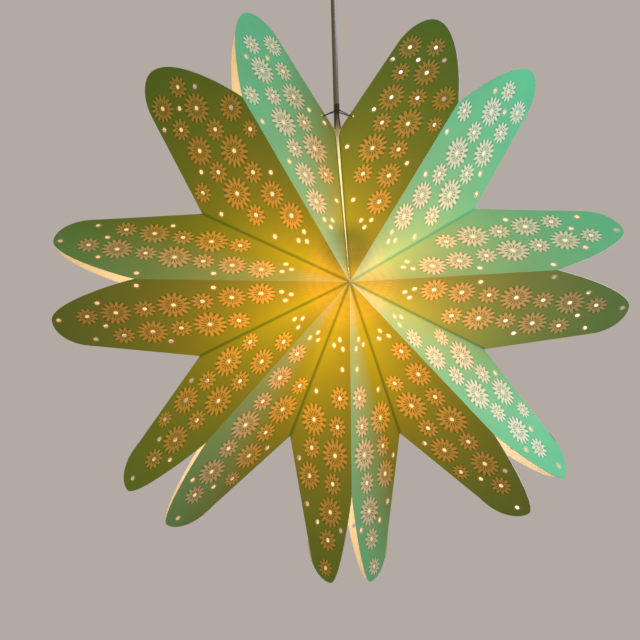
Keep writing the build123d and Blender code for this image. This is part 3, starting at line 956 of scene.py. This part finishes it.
class PAPERSTAR_OT_string(bpy.types.Operator):
    """Twisted string through the tie holes, its knot and its two tails"""

    bl_idname = "paper_star.string"
    bl_label = "Tie String"

    def execute(self, context):
        fittings = context.scene.star_fittings
        radius = fittings.string_radius
        low, high = (Vector(corner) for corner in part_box("tie_string"))
        clearance, knot_radius, knot_half = 0.00025, 0.0033, 0.005
        offset = fittings.cable_radius + radius + clearance
        knot_height = high.z - knot_half
        knot = Vector((0, -(fittings.cable_radius + clearance + knot_radius), knot_height))

        # Loop: from the knot round the turn inside the right point, behind the cable and round the left one
        level = Vector((0, 0, knot_height))
        right_drop, left_drop = 0.0114, 0.0101
        right = Vector((high.x - radius, 0, -right_drop))
        left = Vector((low.x + radius, 0, -left_drop))
        before, behind = Vector((0, -offset, 0)), Vector((0, offset, 0))
        ends = before, before - Vector((0, 0, radius))
        turns = right + before, right + behind, behind, left + behind, left + before
        loop = [level + stop for stop in (ends[0], *turns, ends[1])]

        # Knot: a core with the string wrapped round it, and two tails
        wraps, steps, wrap_radius, wrap_half = 5, 40, 0.0024, knot_half - radius
        coil = []
        for share in (step / steps for step in range(steps + 1)):
            turn = math.tau * wraps * share
            rise = wrap_half * (2 * share - 1)
            coil.append(knot + Vector((wrap_radius * math.cos(turn), wrap_radius * math.sin(turn), rise)))
        core = [knot + Vector((0, 0, share * knot_half)) for share in (-1, -0.4, 0.4, 1)]
        spread, drop = 0.0022, 0.0211
        tails = [
            [knot + Vector((side * (radius + spread * run), 0, -drop * run)) for run in (0, 0.4, 0.75, 1)]
            for side in (1, -1)
        ]
        thickness, lay, twist = 0.55 * radius, 0.45 * radius, 0.2 * radius  # of the two strands
        curve = new_curve("tie_twine", thickness, resolution=2)
        for route in (loop, coil, core, *tails):
            self.strands(curve, route, lay)
        curve.materials.append(twisted_cotton(twist))
        twine = new_object("tie_twine", curve)
        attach(twine, "root")
        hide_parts("tie_string")
        return {"FINISHED"}

    def strands(self, curve, route, offset):
        """Two strands wound round the smooth line of a route."""
        turn_length = 0.005
        line = new_curve("route")
        smooth_line(line, route, resolution=12)
        guide = bpy.data.objects.new("route", line)
        mesh = bpy.data.meshes.new_from_object(guide)
        places = [vert.co.copy() for vert in mesh.vertices]
        bpy.data.objects.remove(guide)
        bpy.data.curves.remove(line)
        bpy.data.meshes.remove(mesh)
        runs = [0.0]
        for start, end in zip(places, places[1:]):
            runs.append(runs[-1] + (end - start).length)
        for half in (0, math.pi):
            strand = curve.splines.new("POLY")
            strand.points.add(len(places) - 1)
            side = Vector((0.3, 0.2, 0.9))  # any direction off the route
            for index, (point, place) in enumerate(zip(strand.points, places)):
                ahead = (places[min(index + 1, len(places) - 1)] - places[max(index - 1, 0)]).normalized()
                side = (side - ahead * side.dot(ahead)).normalized()
                turn = math.tau * runs[index] / turn_length + half
                aside = side * math.cos(turn) + ahead.cross(side) * math.sin(turn)
                point.co = (*(place + aside * offset), 1)


class PAPERSTAR_OT_ceiling_fitting(bpy.types.Operator):
    """Ceiling cup with its cord grip, nipple, nut and strap"""

    bl_idname = "paper_star.ceiling_fitting"
    bl_label = "Ceiling Fitting"

    def execute(self, context):
        fittings = context.scene.star_fittings
        steps = fittings.round_steps
        # Cup: white moulded plastic with rounded rims
        plastic = speckled("moulded ABS, satin white", "#D6D1C6", "#E4DFD4", grain=0.0014, roughness=0.4)
        bore, radius, wall = 0.0053, 0.042, 0.0018
        inner, ceiling = radius - wall, CUP_FLOOR + wall
        profile = [(bore, CUP_FLOOR), (radius - 0.002, CUP_FLOOR), (radius, CUP_FLOOR + 0.0025), (radius, 0)]
        profile += [(inner, 0), (inner, ceiling), (bore, ceiling), (bore, CUP_FLOOR)]
        rounding = fittings.cup_rounding
        turned_piece("cup", plastic, ["ceiling_cup"], profile, 2 * steps, rounding)

        # Cord grip: a hexagon with turned-off corners under a flange
        half_flat, height, middle, corner_rounding = 0.0075, 0.018, -0.056, 0.0007
        corner = half_flat / math.cos(math.pi / 6)
        place = Matrix.Translation((0, 0, middle))
        bm = bmesh.new()
        made = bmesh.ops.create_cone(
            bm, cap_ends=True, segments=6, radius1=corner, radius2=corner, depth=height, matrix=place
        )["verts"]
        bevel(bm, list({edge for vert in made for edge in vert.link_edges}), corner_rounding, segments=2)
        inner, outer, foot, chamfer = 0.005, 0.0100, -0.0475, 0.0007
        profile = [(inner, foot), (outer - chamfer, foot), (outer, foot + chamfer), (outer, CUP_FLOOR)]
        turned(bm, [*profile, (inner, CUP_FLOOR), (inner, foot)], steps)
        finish_piece(bm, "cord_grip", [plastic], ["cup_cord_grip"], smooth=True)

        # Steel parts under the cup: bright zinc plating with a faint crystal bloom
        zinc = speckled(
            "bright zinc-plated steel", "#9FA3A6", "#C3C7C9", grain=0.004, roughness=0.34,
            metallic=1.0, bump=0.05,
        )
        for node in ("threaded_nipple", "lock_nut", "mounting_strap"):
            dress(node, zinc)
        return {"FINISHED"}


class PAPERSTAR_OT_stage(bpy.types.Operator):
    """Pale backdrop, soft light from the right and the camera"""

    bl_idname = "paper_star.stage"
    bl_label = "Stage"

    def execute(self, context):
        stage = context.scene.star_stage
        hub = Vector((0, 0, context.scene.star_sheets.hub_height))
        self.backdrop(stage)
        self.lights(context, stage, hub)
        self.camera(context, stage, hub)
        context.scene.view_settings.view_transform = "Standard"
        return {"FINISHED"}

    def backdrop(self, stage):
        """Floor and wall with a round corner between them."""
        bm = bmesh.new()
        half_width, near, wall, floor, top, rounding = 6, -6, 3, -2.6, 5.4, 1.2
        rows = [
            [bm.verts.new((x, y, z)) for x in (-half_width, half_width)]
            for y, z in ((near, floor), (wall, floor), (wall, top))
        ]
        for (left, right), (far_left, far_right) in zip(rows, rows[1:]):
            bm.faces.new((left, right, far_right, far_left))
        bevel(bm, [edge for edge in bm.edges if len(edge.link_faces) == 2], rounding, segments=12)
        mesh = to_mesh(bm, "backdrop")
        mesh.shade_smooth()
        # Matt paint: an even ground to the eye, and a soft bounce on the star
        material, tree, shader = new_material("matt painted backdrop")
        wire(tree, shader, {"Base Color": [*stage.wall, 1], "Roughness": 0.9})
        flat = add(tree, "ShaderNodeEmission", {"Color": [*stage.wall, 1], "Strength": 1.0})
        self.show(tree, "Material Output", shader, flat)
        mesh.materials.append(material)
        backdrop = new_object("backdrop", mesh)

    def show(self, tree, output, lighting, seen):
        """One shader for the light that falls on the star, and another for what is seen."""
        mix = {0: seen_rays(tree), 1: lighting.outputs[0], 2: seen.outputs[0]}
        mixed = add(tree, "ShaderNodeMixShader", mix).outputs[0]
        wire(tree, tree.nodes[output], {"Surface": mixed})

    def lights(self, context, stage, hub):
        """Cool window light from the right, and a warm room."""
        size, away, towards = 1.0, 1.3, Vector((0.93, -0.22, 0.31)).normalized()
        lamp = bpy.data.lights.new("window_light", "AREA")
        lamp.shape = "DISK"
        lamp.size = size
        lamp.energy = stage.key_power
        lamp.color = (0.92, 1.0, 1.28)
        window = new_object("window_light", lamp)
        window.location = hub + towards * away
        window.rotation_euler = towards.to_track_quat("Z", "Y").to_euler()

        # Warm fill from all round; the eye sees the wall's colour there instead
        world = bpy.data.worlds.new("room")
        world.use_nodes = True
        tree = world.node_tree
        fill = tree.nodes["Background"]
        wire(tree, fill, {"Color": (1.0, 0.75, 0.17, 1), "Strength": 0.26})
        wall = add(tree, "ShaderNodeBackground", {"Color": [*stage.wall, 1], "Strength": 1.0})
        self.show(tree, "World Output", fill, wall)
        context.scene.world = world

    def camera(self, context, stage, hub):
        """Camera before the hub, a little to its left and below."""
        aim = Vector((-0.0229, 0, -0.0333))  # hub to the middle of the picture
        lens = bpy.data.cameras.new("camera")
        lens.lens = stage.focal_length
        lens.sensor_width = 36.0
        camera = new_object("camera", lens)
        level = math.cos(stage.elevation)
        right, back = math.sin(stage.azimuth) * level, -math.cos(stage.azimuth) * level
        away = Vector((right, back, math.sin(stage.elevation)))
        camera.location = hub + away * stage.camera_distance
        target = hub + aim
        facing = (target - camera.location).to_track_quat("-Z", "Y").to_matrix()
        camera.rotation_euler = (facing @ Matrix.Rotation(stage.roll, 3, "Z")).to_euler()
        context.scene.camera = camera


class PAPERSTAR_PT_panel(bpy.types.Panel):
    """Pieces of the hanging paper star"""

    bl_idname = "PAPERSTAR_PT_panel"
    bl_label = "Paper Star"
    bl_space_type = "VIEW_3D"
    bl_region_type = "UI"
    bl_category = "Paper Star"

    def draw(self, context):
        for operator in OPERATORS:
            self.layout.operator(operator.bl_idname)
        for group in SETTINGS:
            box = self.layout.box()
            settings = getattr(context.scene, group)
            for name in settings.bl_rna.properties.keys():
                if name not in ("rna_type", "name"):
                    box.prop(settings, name)


OPERATORS = (
    PAPERSTAR_OT_cable,
    PAPERSTAR_OT_lamp,
    PAPERSTAR_OT_sheets,
    PAPERSTAR_OT_string,
    PAPERSTAR_OT_ceiling_fitting,
    PAPERSTAR_OT_stage,
)
SETTINGS = {
    "star_sheets": StarSheetSettings,
    "star_colours": StarColourSettings,
    "star_fittings": StarFittingSettings,
    "star_stage": StarStageSettings,
}


def register():
    for group in (*SETTINGS.values(), *OPERATORS, PAPERSTAR_PT_panel):
        bpy.utils.register_class(group)
    for name, group in SETTINGS.items():
        setattr(bpy.types.Scene, name, PointerProperty(type=group))


def unregister():
    for name in SETTINGS:
        delattr(bpy.types.Scene, name)
    for group in reversed((*SETTINGS.values(), *OPERATORS, PAPERSTAR_PT_panel)):
        bpy.utils.unregister_class(group)


def main():
    register()
    bpy.ops.paper_star.cable()
    bpy.ops.paper_star.lamp()
    bpy.ops.paper_star.sheets()
    bpy.ops.paper_star.string()
    bpy.ops.paper_star.ceiling_fitting()
    bpy.ops.paper_star.stage()


if __name__ == "__main__":
    main()
